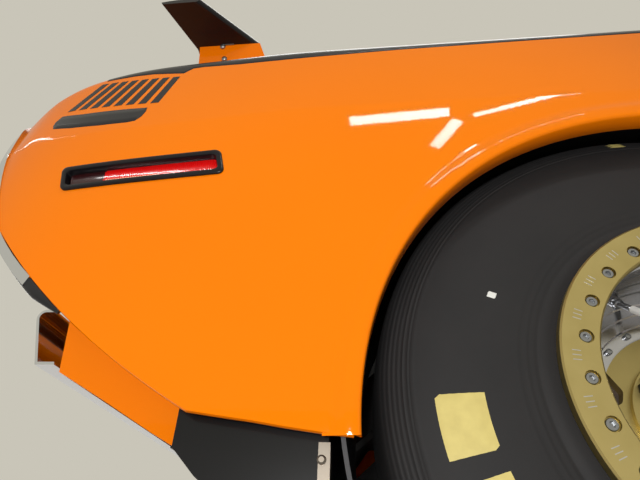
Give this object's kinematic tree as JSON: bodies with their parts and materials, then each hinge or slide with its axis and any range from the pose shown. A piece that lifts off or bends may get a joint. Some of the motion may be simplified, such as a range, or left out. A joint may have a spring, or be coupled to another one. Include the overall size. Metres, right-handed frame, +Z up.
{
  "type": "muscle car rear body section",
  "caption": "Rear body section of a two-door muscle car: quarter panels, roof, deck lid with wing, bumper, live axle and wide rolling wheels, held by frame rail flanges.",
  "frame": {"origin": "middle of the four bolt holes in the flanges at the front ends of the two frame rails", "axes": "+X to the front of the car and out of the flanges, +Y to its left, +Z up"},
  "size_m": [1.7569, 1.8616, 1.2919],
  "materials": {
    "body_paint": "gloss orange lacquer over steel",
    "black_paint": "gloss black lacquer",
    "underbody": "satin black chip-resistant coating",
    "chassis_black": "semi-gloss black chassis paint",
    "tank_grey": "grey coated steel",
    "exhaust_steel": "bare aluminised steel, dulled by heat",
    "damper_grey": "grey enamel",
    "chrome": "bright chrome plate",
    "lens_red": "clear red ribbed plastic",
    "bezel_black": "black moulded plastic",
    "window": "toughened glass, lightly tinted",
    "hinge_steel": "zinc plated steel",
    "tyre": "matte black rubber",
    "barrel_alloy": "polished aluminium",
    "gold_alloy": "satin gold anodised aluminium",
    "nut_black": "black finished steel",
    "drum_iron": "machined cast iron"
  },
  "bodies": {
    "body_shell": {"axle_housing": "chassis_black", "bumper": "chrome", "crossmembers": "chassis_black", "dampers": "damper_grey", "deck_filler": "body_paint", "deck_hinges": "hinge_steel", "exhaust": "exhaust_steel", "floor": "underbody", "frame_rail_left": "chassis_black", "frame_rail_right": "chassis_black", "fuel_tank": "tank_grey", "leaf_springs": "chassis_black", "marker_bezels": "bezel_black", "marker_lenses": "lens_red", "propeller_shaft": "chassis_black", "quarter_glass": "window", "quarter_left": "body_paint", "quarter_right": "body_paint", "rear_bulkhead": "underbody", "rear_glass": "window", "roof": "body_paint", "side_well_left": "black_paint", "side_well_right": "black_paint", "tail_lamps": "lens_red", "tail_panel": "body_paint", "tail_trim": "chrome", "valance": "body_paint", "wheelhouse_left": "underbody", "wheelhouse_right": "underbody"},
    "deck": {"deck_lid": "body_paint", "wing_stands": "body_paint", "wing_blade": "black_paint"},
    "wheel_right": {"tyre_right": "tyre", "wheel_barrel_right": "barrel_alloy", "beadlock_ring_right": "gold_alloy", "wheel_centre_right": "gold_alloy", "lug_nuts_right": "nut_black", "brake_drum_right": "drum_iron"},
    "wheel_left": {"tyre_left": "tyre", "wheel_barrel_left": "barrel_alloy", "beadlock_ring_left": "gold_alloy", "wheel_centre_left": "gold_alloy", "lug_nuts_left": "nut_black", "brake_drum_left": "drum_iron"}
  },
  "joints": [
    {"name": "wheel_right_spin", "type": "hinge", "parent": "body_shell", "child": "wheel_right", "pos_m": [-0.7, -0.75, 0.108], "axis": [0, 1, 0], "continuous": true},
    {"name": "wheel_left_spin", "type": "hinge", "parent": "body_shell", "child": "wheel_left", "pos_m": [-0.7, 0.75, 0.108], "axis": [0, 1, 0], "continuous": true},
    {"name": "deck_lid", "type": "hinge", "parent": "body_shell", "child": "deck", "pos_m": [-1.0425, 0, 0.745], "axis": [0, 1, 0], "range_deg": [0, 60]}
  ]
}
